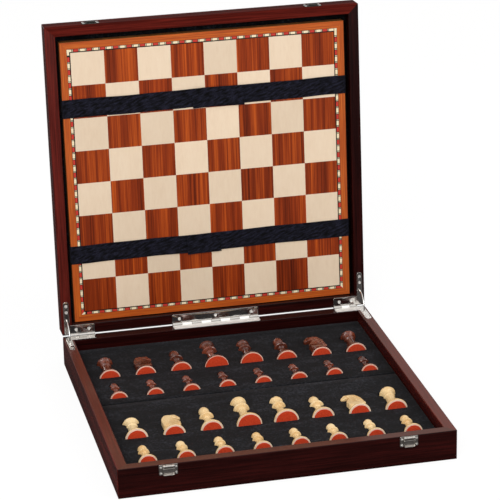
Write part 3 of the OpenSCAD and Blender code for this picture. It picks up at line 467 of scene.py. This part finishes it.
# Border
# Four strips of orange-brown veneer are glued round the inlay and meet in mitres. Fine darker streaks
# run along each strip, and the finish on it is satin.
def border_veneer():
    made, tree, shader = material("orange_brown_border")
    place = add_node(tree, "ShaderNodeTexCoord")
    flat = add_node(tree, "ShaderNodeMapping", {"Location": hinge_axis, "Rotation": (lid_tilt, 0, 0)},
                    {"Vector": place.outputs["Object"]}, vector_type="TEXTURE")
    parts = add_node(tree, "ShaderNodeSeparateXYZ", links={0: flat.outputs[0]})
    sideways = add_node(tree, "ShaderNodeMath", links={0: parts.outputs["X"]}, operation="ABSOLUTE")
    height = add_node(tree, "ShaderNodeMath", {1: field_middle}, {0: parts.outputs["Z"]},
                      operation="SUBTRACT")
    upward = add_node(tree, "ShaderNodeMath", links={0: height.outputs[0]}, operation="ABSOLUTE")
    upright = add_node(tree, "ShaderNodeMath", links={0: sideways.outputs[0], 1: upward.outputs[0]},
                       operation="GREATER_THAN")
    grains = []
    for scale in ((60 * MM, 1, 1.2 * MM), (1.2 * MM, 1, 60 * MM)):
        run = add_node(tree, "ShaderNodeMapping", {"Scale": scale}, {"Vector": flat.outputs[0]},
                       vector_type="TEXTURE")
        grains.append(add_node(tree, "ShaderNodeTexNoise", {"Scale": 1, "Detail": 5, "Roughness": 0.6},
                               {"Vector": run.outputs[0]}))
    grain = add_node(tree, "ShaderNodeMix", links={0: upright.outputs[0], 2: grains[0].outputs[0],
                                                   3: grains[1].outputs[0]})
    tone = add_node(tree, "ShaderNodeValToRGB", links={"Fac": grain.outputs[0]},
                    stops=[(0.3, "#8f3a0f"), (0.7, "#cd6d22"), (0.5, "#b65216")])
    tree.links.new(tone.outputs["Color"], shader.inputs["Base Color"])
    shader.inputs["Roughness"].default_value = 0.38
    shader.inputs["Specular IOR Level"].default_value = 0.3
    return made


give(border_veneer(), "board_border")

# Inlay
# The band is bought as a long strip of tiny blocks glued edge to edge: red and cream blocks in turn,
# with a pale bar between two black lines at each joint, all set in black. Each corner is mitred.
band_middle = 162.6 * MM
band_l = 2 * band_middle
block_l = 5.6 * MM
bar_l = 0.6 * MM
band_w = 2.7 * MM
proud = 0.06 * MM
face = -7 * MM


def dyed_veneer(name, colour, dark):
    made, tree, shader = material(name)
    place = add_node(tree, "ShaderNodeTexCoord")
    fibre = add_node(tree, "ShaderNodeTexNoise", {"Scale": 1 / (0.7 * MM), "Detail": 3},
                     {"Vector": place.outputs["Object"]})
    tone = add_node(tree, "ShaderNodeValToRGB", links={"Fac": fibre.outputs[0]},
                    stops=[(0.3, dark), (0.7, colour)])
    tree.links.new(tone.outputs["Color"], shader.inputs["Base Color"])
    shader.inputs["Roughness"].default_value = 0.4
    shader.inputs["Specular IOR Level"].default_value = 0.3
    return made


def into_open_lid(piece):
    # turns what is drawn flat, X across and Y up the lid from the hinge, to its place in the open lid
    apply_place(piece)
    piece.location = hinge_axis
    piece.rotation_euler = (math.radians(180) - lid_open, 0, 0)
    apply_place(piece)


give(dyed_veneer("black_dyed_veneer", "#1b1413", "#0d0908"), "board_inlay")
red_dye = dyed_veneer("red_dyed_veneer", "#cf3e30", "#b42a24")
cream = dyed_veneer("cream_holly_veneer", "#f4e6c4", "#e4cfa6")
strips = []
# each side was cut from the strip at its own place: the start of the first red block and the pitch, both
# as shares of the side, the number of reds, and the finish of the block that the side begins with; for
# the top, the left, the bottom and the right side
cuts = ((0.029, 0.0490, 20, cream), (0.006, 0.0481, 21, red_dye), (0.013, 0.0481, 21, red_dye),
        (0.038, 0.0490, 20, cream))
mitre = band_w / 2 + 0.15 * MM
for quarter, (first, pitch, reds, starts_with) in enumerate(cuts):
    turn = quarter * math.pi / 2
    cream_first = first + pitch / 2 if starts_with is red_dye else first - pitch / 2
    bar_first = min(first, cream_first) + pitch / 4
    for start, share, count, length, finish in ((first, pitch, reds, block_l, red_dye),
                                                (cream_first, pitch, 21, block_l, cream),
                                                (bar_first, pitch / 2, 40, bar_l, cream)):
        bpy.ops.object.select_all(action="DESELECT")
        bpy.ops.mesh.primitive_cube_add(size=1, location=(-band_middle + start * band_l, band_middle, 0))
        strip = bpy.context.object
        strip.scale = (length, band_w, 2 * proud)
        apply_place(strip)
        modify(strip, "ARRAY", count=count, use_relative_offset=False, use_constant_offset=True,
               constant_offset_displace=(share * band_l, 0, 0))
        bpy.ops.object.mode_set(mode="EDIT")
        for away in (-1, 1):
            bpy.ops.mesh.select_all(action="SELECT")
            bpy.ops.mesh.bisect(plane_co=(away * (band_middle - mitre), 0, 0), plane_no=(away, 0, 0),
                                use_fill=True, clear_outer=True)
        bpy.ops.object.mode_set(mode="OBJECT")
        strip.rotation_euler = (0, 0, turn)
        strip.data.materials.append(finish)
        apply_place(strip)
        strips.append(strip)
    # the corner is two triangles that meet on the mitre, each in the finish of the block that it ends
    for finish, away in ((cuts[quarter - 1][3], 1), (cream, -1)):
        bpy.ops.object.select_all(action="DESELECT")
        bpy.ops.mesh.primitive_cube_add(size=1, location=(band_middle, band_middle, 0))
        corner = bpy.context.object
        corner.scale = (2 * mitre, 2 * mitre, 2 * proud)
        apply_place(corner)
        bpy.ops.object.mode_set(mode="EDIT")
        bpy.ops.mesh.select_all(action="SELECT")
        bpy.ops.mesh.bisect(plane_co=(band_middle, band_middle, 0), plane_no=(away, -away, 0),
                            use_fill=True, clear_inner=True)
        bpy.ops.object.mode_set(mode="OBJECT")
        corner.rotation_euler = (0, 0, turn)
        corner.data.materials.append(finish)
        apply_place(corner)
        strips.append(corner)
inlay = join(strips, "inlay_blocks")
inlay.location = (0, field_middle, face)
into_open_lid(inlay)
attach(inlay, "lid")

# Elastic straps
# Each strap is a woven navy-black elastic band. It comes through the lining at both sides, passes over
# the board and is sewn to itself in a lap, where it is twice as thick and lies a little uneven.
strap_w = 22.3 * MM
slit_w = 20.5 * MM
strap_t = 1 * MM
board_half = 172.6 * MM
panel_face = -20 * MM


def elastic_webbing():
    made, tree, shader = material("woven_elastic_webbing")
    own = add_node(tree, "ShaderNodeUVMap", uv_map="UVMap")
    # cords 1.1 mm wide run along the band, crossed by picks every 1.6 mm, and slanting creases are
    # painted paler and darker: the painted light and shade of folds
    threads = add_node(tree, "ShaderNodeMapping", {"Scale": (1 / (1.6 * MM), 1 / (1.1 * MM), 1)},
                       {"Vector": own.outputs[0]})
    weave = add_node(tree, "ShaderNodeTexBrick",
                     {"Scale": 1, "Mortar Size": 0.12, "Brick Width": 1, "Row Height": 1,
                      "Color1": linear("#14141f"), "Color2": linear("#0b0b15"),
                      "Mortar": linear("#050507")},
                     {"Vector": threads.outputs[0]})
    slanted = add_node(tree, "ShaderNodeMapping",
                       {"Rotation": (0, 0, math.radians(20)), "Scale": (9 * MM, 2.2 * MM, 1)},
                       {"Vector": own.outputs[0]}, vector_type="TEXTURE")
    creases = add_node(tree, "ShaderNodeTexNoise", {"Scale": 1, "Detail": 4},
                       {"Vector": slanted.outputs[0]})
    crease_light_and_shade = add_node(tree, "ShaderNodeMapRange",
                      {"From Min": 0.38, "From Max": 0.66, "To Min": 0.1, "To Max": 3.6},
                      {"Value": creases.outputs[0]})
    toned = add_node(tree, "ShaderNodeHueSaturation", links={"Color": weave.outputs["Color"],
                                                             "Value": crease_light_and_shade.outputs[0]})
    ribs = add_node(tree, "ShaderNodeBump", {"Strength": 0.5, "Distance": 0.25 * MM},
                    {"Height": weave.outputs["Fac"]})
    ribs.invert = True
    tree.links.new(toned.outputs[0], shader.inputs["Base Color"])
    tree.links.new(ribs.outputs[0], shader.inputs["Normal"])
    shader.inputs["Roughness"].default_value = 0.75
    shader.inputs["Sheen Weight"].default_value = 0.03
    shader.inputs["Specular IOR Level"].default_value = 0.1
    return made


def band(name, path, middle, wave, spare):
    # a strip of webbing along a path of (across, lift) points, with its middle at this height in the lid:
    # wave is how far it strays from straight, spare how much wider than the webbing it is drawn
    rows = 10
    spans = len(path) - 1
    bpy.ops.object.select_all(action="DESELECT")
    bpy.ops.mesh.primitive_grid_add(x_subdivisions=spans, y_subdivisions=rows, size=2)
    made = bpy.context.object
    made.name = name
    lengths = [0.0]
    for a, b in zip(path, path[1:]):
        lengths.append(lengths[-1] + math.dist(a, b))
    for vertex in made.data.vertices:
        i = round((vertex.co.x + 1) / 2 * spans)
        across = vertex.co.y
        x, lift = path[i]
        on_face = min(1, max(0, (board_half - abs(x)) / (20 * MM)))
        spread = min(1, max(0, (lift - panel_face) / (11 * MM)))
        bow = wave * on_face * (math.sin(x * 37 + middle * 50) + 0.5 * math.sin(x * 90 + 1))
        sag = spread * 1 * MM * (x / board_half - 1)
        width = slit_w + (strap_w + spare - slit_w) * spread
        curl = 0.25 * MM * on_face * across ** 4
        vertex.co = (x, middle + across * width / 2 + bow + sag, lift + curl)
    layer = made.data.uv_layers[0].data
    for loop, uv in zip(made.data.loops, layer):
        uv.uv = (uv.uv[0] * lengths[-1], uv.uv[1] * strap_w)
    modify(made, "SOLIDIFY", thickness=strap_t, offset=0)
    modify(made, "BEVEL", width=0.3 * MM, segments=2, limit_method="ANGLE", angle_limit=math.radians(50))
    bpy.ops.object.shade_smooth_by_angle(angle=math.radians(40))
    made.data.materials.append(webbing)
    return made, lengths[-1]


webbing = elastic_webbing()
for name, middle, sewn_end, free_end in (("low_strap", 101 * MM, 12, -30),
                                         ("high_strap", 281.6 * MM, -16, 47)):
    on_board = face + strap_t / 2 + 0.02 * MM
    side = board_half + strap_t / 2
    path = [(-side, panel_face), (-side, panel_face + 6 * MM), (-side, face - 1.5 * MM),
            (-side + 0.3 * MM, on_board)]
    path += [(x * MM, on_board + 0.15 * MM * math.sin(x * 0.11)) for x in range(-170, 171, 5)]
    path += [(-x, z) for x, z in path[3::-1]]
    strap, length = band(name + "_webbing", path, middle, 0.35 * MM, 0)
    # the sewn lap lies on the band, and its free end stands up in a small fold
    steps = 16
    lap_path = []
    for i in range(steps + 1):
        share = i / steps
        x = sewn_end + (free_end - sewn_end) * share
        lift = strap_t * 0.95 + 1.3 * MM * max(0, share - 0.8) / 0.2 + 0.3 * MM * math.sin(i * 1.1)
        lap_path.append((x * MM, on_board + lift))
    if sewn_end > free_end:
        lap_path.reverse()
    lap_piece, lap_length = band(name + "_lap", lap_path, middle - 0.8 * MM, 0.4 * MM, 1.8 * MM)
    for piece, cut in ((strap, length), (lap_piece, lap_length)):
        into_open_lid(piece)
        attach(piece, "lid")
    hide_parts(name)


# Hinges
# Each leaf is stamped from steel sheet, its edge is rolled round the pin in knuckles, and the whole is
# polished and nickel plated: it mirrors the studio, and its soft stamped edges catch the light.
def nickel(name, colour, polish, scuff, waves):
    made, tree, shader = material(name)
    place = add_node(tree, "ShaderNodeTexCoord")
    scuffs = add_node(tree, "ShaderNodeTexNoise",
                      {"Scale": 1 / (2.5 * MM), "Detail": 5, "Roughness": 0.7},
                      {"Vector": place.outputs["Object"]})
    worn = add_node(tree, "ShaderNodeMapRange", {"To Min": polish, "To Max": polish + scuff},
                    {"Value": scuffs.outputs[0]})
    wavy = add_node(tree, "ShaderNodeTexNoise", {"Scale": 1 / (6 * MM), "Detail": 1},
                    {"Vector": place.outputs["Object"]})
    pressed = add_node(tree, "ShaderNodeBump", {"Strength": waves, "Distance": 0.5 * MM},
                       {"Height": wavy.outputs[0]})
    tree.links.new(worn.outputs[0], shader.inputs["Roughness"])
    tree.links.new(pressed.outputs[0], shader.inputs["Normal"])
    shader.inputs["Base Color"].default_value = linear(colour)
    shader.inputs["Metallic"].default_value = 1
    return made


def stamped(name, finish, body):
    # a copy of a CAD node in sheet metal, with its edges rounded and its faces left flat
    part = copy_of(name, name + "_stamped")
    modify(part, "BEVEL", width=stamped_edge, segments=2, limit_method="ANGLE",
           angle_limit=math.radians(40), use_clamp_overlap=False)
    bpy.ops.object.shade_smooth_by_angle(angle=math.radians(35))
    modify(part, "WEIGHTED_NORMAL", mode="FACE_AREA_WITH_ANGLE", keep_sharp=True)
    part.data.materials.append(finish)
    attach(part, body)
    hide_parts(name)
    return part


stamped_edge = 0.2 * MM
# the leaves on the lid are as bright as mirrors; two of those on the base are scuffed dull and white
bright_nickel = nickel("bright_nickel_plate", "#dedad5", 0.05, 0.1, 0.06)
scuffed_nickel = nickel("worn_nickel_plate", "#fbf9f6", 0.5, 0.2, 0.1)
for side, base_nickel in (("centre", scuffed_nickel), ("left", bright_nickel), ("right", scuffed_nickel)):
    stamped(side + "_lid_leaf", bright_nickel, "lid")
    stamped(side + "_base_leaf", base_nickel, "base")
# the screws' domed heads are barrel plated, which leaves them satin
give(nickel("nickel_plated_screws", "#fbf9f5", 0.5, 0.1, 0.2), "base_hinge_screws", "lid_hinge_screws",
     "catch_screws", "keeper_screws")

# Pins and stays
# The pins of the hinges and of the catches and the two curved stays are cut from drawn steel wire. The
# drawing leaves it bright, but not as sharp a mirror as the plated leaves.
give(nickel("bright_steel_wire", "#e2e0dc", 0.15, 0.1, 0.1), "hinge_pins", "left_stay", "right_stay",
     "flap_pins")

# Catches
# Plates, keepers and flaps are pressed from thinner nickel plated sheet, which is duller than the
# hinges. The keepers are coloured dark grey as painted shade for the hollow under each bridge. A tab
# bent down to the plate closes one end of each bridge, and its dark colour is painted shade in the
# opening.
catch_nickel = nickel("dull_nickel_plate", "#cbc6c0", 0.22, 0.15, 0.1)
shaded_keeper_nickel = nickel("dark_nickel_plate", "#67645f", 0.12, 0.1, 0.1)
plate_face = -190.8 * MM
tab_t = 0.6 * MM
for side in ("left", "right"):
    stamped(side + "_catch_plate", catch_nickel, "base")
    stamped(side + "_flap", catch_nickel, side + "_flap")
    keeper = stamped(side + "_keeper", shaded_keeper_nickel, "lid")
    # the bridge as it is with the lid closed, where it stands out from the plate along -Y
    closed = [swung(vertex.co, lid_open) for vertex in keeper.data.vertices]
    bridge = [place for place in closed if place.y < plate_face - 1.2 * MM]
    left_end, right_end = min(place.x for place in bridge), max(place.x for place in bridge)
    front, top = min(place.y for place in bridge), max(place.z for place in bridge)
    # the tab is in the dark keeper colour: painted shade that makes the bridge's opening show dark
    bpy.ops.object.select_all(action="DESELECT")
    middle = ((left_end + right_end) / 2, (front + plate_face) / 2, top - 0.4 * MM)
    bpy.ops.mesh.primitive_cube_add(size=1, location=middle)
    tab = bpy.context.object
    tab.scale = (right_end - left_end - 0.5 * MM, plate_face - front - 0.2 * MM, tab_t)
    apply_place(tab)
    for vertex in tab.data.vertices:
        vertex.co = swung(vertex.co, -lid_open)
    tab.data.materials.append(shaded_keeper_nickel)
    join([keeper, tab], keeper.name)


# Turned pieces
# Kings, queens, bishops, rooks and pawns are turned on a lathe from pale wood. One set is dipped in
# clear gloss lacquer, the other is stained rosewood brown first. The foot is sanded flat last, so its
# face is bare pale wood round the felt. The grain runs from foot to head and fine tool rings show.
column_step = 42.9 * MM
officer_foot = {"light": -89.1 * MM, "dark": 85.0 * MM}
pawn_foot = {"light": -156.6 * MM, "dark": 24.0 * MM}


def turned_wood(name, pale, middle, deep, bare, roughness, coat, foot):
    made, tree, shader = material(name)
    place = add_node(tree, "ShaderNodeTexCoord")
    run = add_node(tree, "ShaderNodeMapping", {"Scale": (1.1 * MM, 22 * MM, 1.1 * MM)},
                   {"Vector": place.outputs["Object"]}, vector_type="TEXTURE")
    grain = add_node(tree, "ShaderNodeTexNoise",
                     {"Scale": 1, "Detail": 4, "Roughness": 0.6, "Distortion": 0.5},
                     {"Vector": run.outputs[0]})
    # each piece is turned from its own stick, a little paler or darker than the next
    stock = add_node(tree, "ShaderNodeMapping", {"Scale": (column_step, 60 * MM, 1)},
                     {"Vector": place.outputs["Object"]}, vector_type="TEXTURE")
    each = add_node(tree, "ShaderNodeTexNoise", {"Scale": 1.3, "Detail": 0}, {"Vector": stock.outputs[0]})
    both = add_node(tree, "ShaderNodeMix", {"Factor": 0.4}, {2: grain.outputs[0], 3: each.outputs[0]})
    tone = add_node(tree, "ShaderNodeValToRGB", links={"Fac": both.outputs[0]},
                    stops=[(0.36, deep), (0.64, pale), (0.5, middle)])
    # the face of the foot looks along -Y and lies near the plane of the row's feet
    across = add_node(tree, "ShaderNodeSeparateXYZ", links={0: place.outputs["Object"]})
    facing = add_node(tree, "ShaderNodeSeparateXYZ", links={0: place.outputs["Normal"]})
    near = add_node(tree, "ShaderNodeMath", {1: foot + 2.6 * MM}, {0: across.outputs["Y"]},
                    operation="LESS_THAN")
    flat = add_node(tree, "ShaderNodeMath", {1: -0.75}, {0: facing.outputs["Y"]}, operation="LESS_THAN")
    sanded = add_node(tree, "ShaderNodeMath", links={0: near.outputs[0], 1: flat.outputs[0]},
                      operation="MULTIPLY")
    colour = add_node(tree, "ShaderNodeMix", {7: linear(bare)},
                      {0: sanded.outputs[0], 6: tone.outputs["Color"]}, data_type="RGBA")
    rings = add_node(tree, "ShaderNodeTexWave", {"Scale": 1 / (3 * MM), "Distortion": 1.5, "Detail": 2},
                     {"Vector": place.outputs["Object"]}, bands_direction="Y")
    turned = add_node(tree, "ShaderNodeBump", {"Strength": 0.04, "Distance": 0.1 * MM},
                      {"Height": rings.outputs[0]})
    tree.links.new(colour.outputs[2], shader.inputs["Base Color"])
    tree.links.new(turned.outputs[0], shader.inputs["Normal"])
    shader.inputs["Roughness"].default_value = roughness
    shader.inputs["Coat Weight"].default_value = coat
    shader.inputs["Coat Roughness"].default_value = 0.1
    return made


woods = {}
for side, tones, roughness, coat in (("light", ("#f9dfac", "#f2cf97", "#dfb16c", "#f4dac2"), 0.4, 0.3),
                                     ("dark", ("#96482e", "#642d1b", "#32140a", "#e9c4ae"), 0.27, 0.55)):
    woods[side] = turned_wood(side + "_lacquered_officers", *tones, roughness, coat, officer_foot[side])
    for kind in ("king", "queen", "bishops"):
        give(woods[side], side + "_" + kind)
    give(turned_wood(side + "_lacquered_pawns", *tones, roughness, coat, pawn_foot[side]),
         side + "_pawns")

# Rooks
# The battlements stand inside the round rim of the head: their ring is turned narrower than the rim
# before the slots are sawn. Each rook lies at its own small tilt, head up, with its foot in the row.
rook_h = 45 * MM
rim_at = 0.925 * rook_h
ring_share = 0.76
bed_z = 21.8 * MM
for side, depth, tilts in (("light", 1.9 * MM, (0, 4)), ("dark", 2.8 * MM, (4, 5.5))):
    towers = copy_of(side + "_rooks", side + "_rooks_turned")
    for vertex in towers.data.vertices:
        right = vertex.co.x > 0
        axis = Vector((3.5 * column_step * (1 if right else -1), officer_foot[side], bed_z - depth))
        tilt = math.radians(tilts[right])
        along = Vector((0, math.cos(tilt), math.sin(tilt)))
        height = (vertex.co - axis).dot(along)
        if height > rim_at:
            centre = axis + along * height
            vertex.co = centre + (vertex.co - centre) * ring_share
    bpy.ops.object.shade_smooth_by_angle(angle=math.radians(35))
    towers.data.materials.append(woods[side])
    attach(towers, side + "_officers")
    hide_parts(side + "_rooks")

# Knights
# The horse's head is carved by hand and then sanded, so every edge is soft and the cuts of the mane,
# the eye and the mouth are rounded grooves. The foot is turned like the other pieces.
for side, body in (("light", "light_officers"), ("dark", "dark_officers")):
    carving = copy_of(side + "_knights", side + "_knights_carved")
    modify(carving, "REMESH", mode="VOXEL", voxel_size=0.45 * MM, adaptivity=0)
    modify(carving, "SMOOTH", factor=0.5, iterations=1)
    bpy.ops.object.shade_smooth()
    carving.data.materials.append(woods[side])
    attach(carving, body)
    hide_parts(side + "_knights")


# Felts
# A disc of thick red pressed felt is punched out and glued under every foot. The cut edge is soft, and
# the wool is matt and mottled.
def pressed_felt():
    made, tree, shader = material("red_pressed_felt")
    place = add_node(tree, "ShaderNodeTexCoord")
    fibres = add_node(tree, "ShaderNodeTexNoise",
                      {"Scale": 1 / (1.2 * MM), "Detail": 5, "Roughness": 0.75},
                      {"Vector": place.outputs["Object"]})
    tone = add_node(tree, "ShaderNodeValToRGB", links={"Fac": fibres.outputs[0]},
                    stops=[(0.3, "#ab2c13"), (0.7, "#d64e29"), (0.5, "#c63d1e")])
    fuzz = add_node(tree, "ShaderNodeBump", {"Strength": 0.4, "Distance": 0.3 * MM},
                    {"Height": fibres.outputs[0]})
    tree.links.new(tone.outputs["Color"], shader.inputs["Base Color"])
    tree.links.new(fuzz.outputs[0], shader.inputs["Normal"])
    shader.inputs["Roughness"].default_value = 0.95
    shader.inputs["Specular IOR Level"].default_value = 0.1
    shader.inputs["Sheen Weight"].default_value = 0.15
    return made


felt = pressed_felt()
for body in ("dark_officers", "dark_pawns", "light_officers", "light_pawns"):
    name = body.rstrip("s") + "_felts"
    pads = copy_of(name, name + "_punched")
    modify(pads, "BEVEL", width=0.25 * MM, segments=2, limit_method="ANGLE", angle_limit=math.radians(50))
    bpy.ops.object.shade_smooth_by_angle(angle=math.radians(60))
    pads.data.materials.append(felt)
    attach(pads, body)
    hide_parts(name)
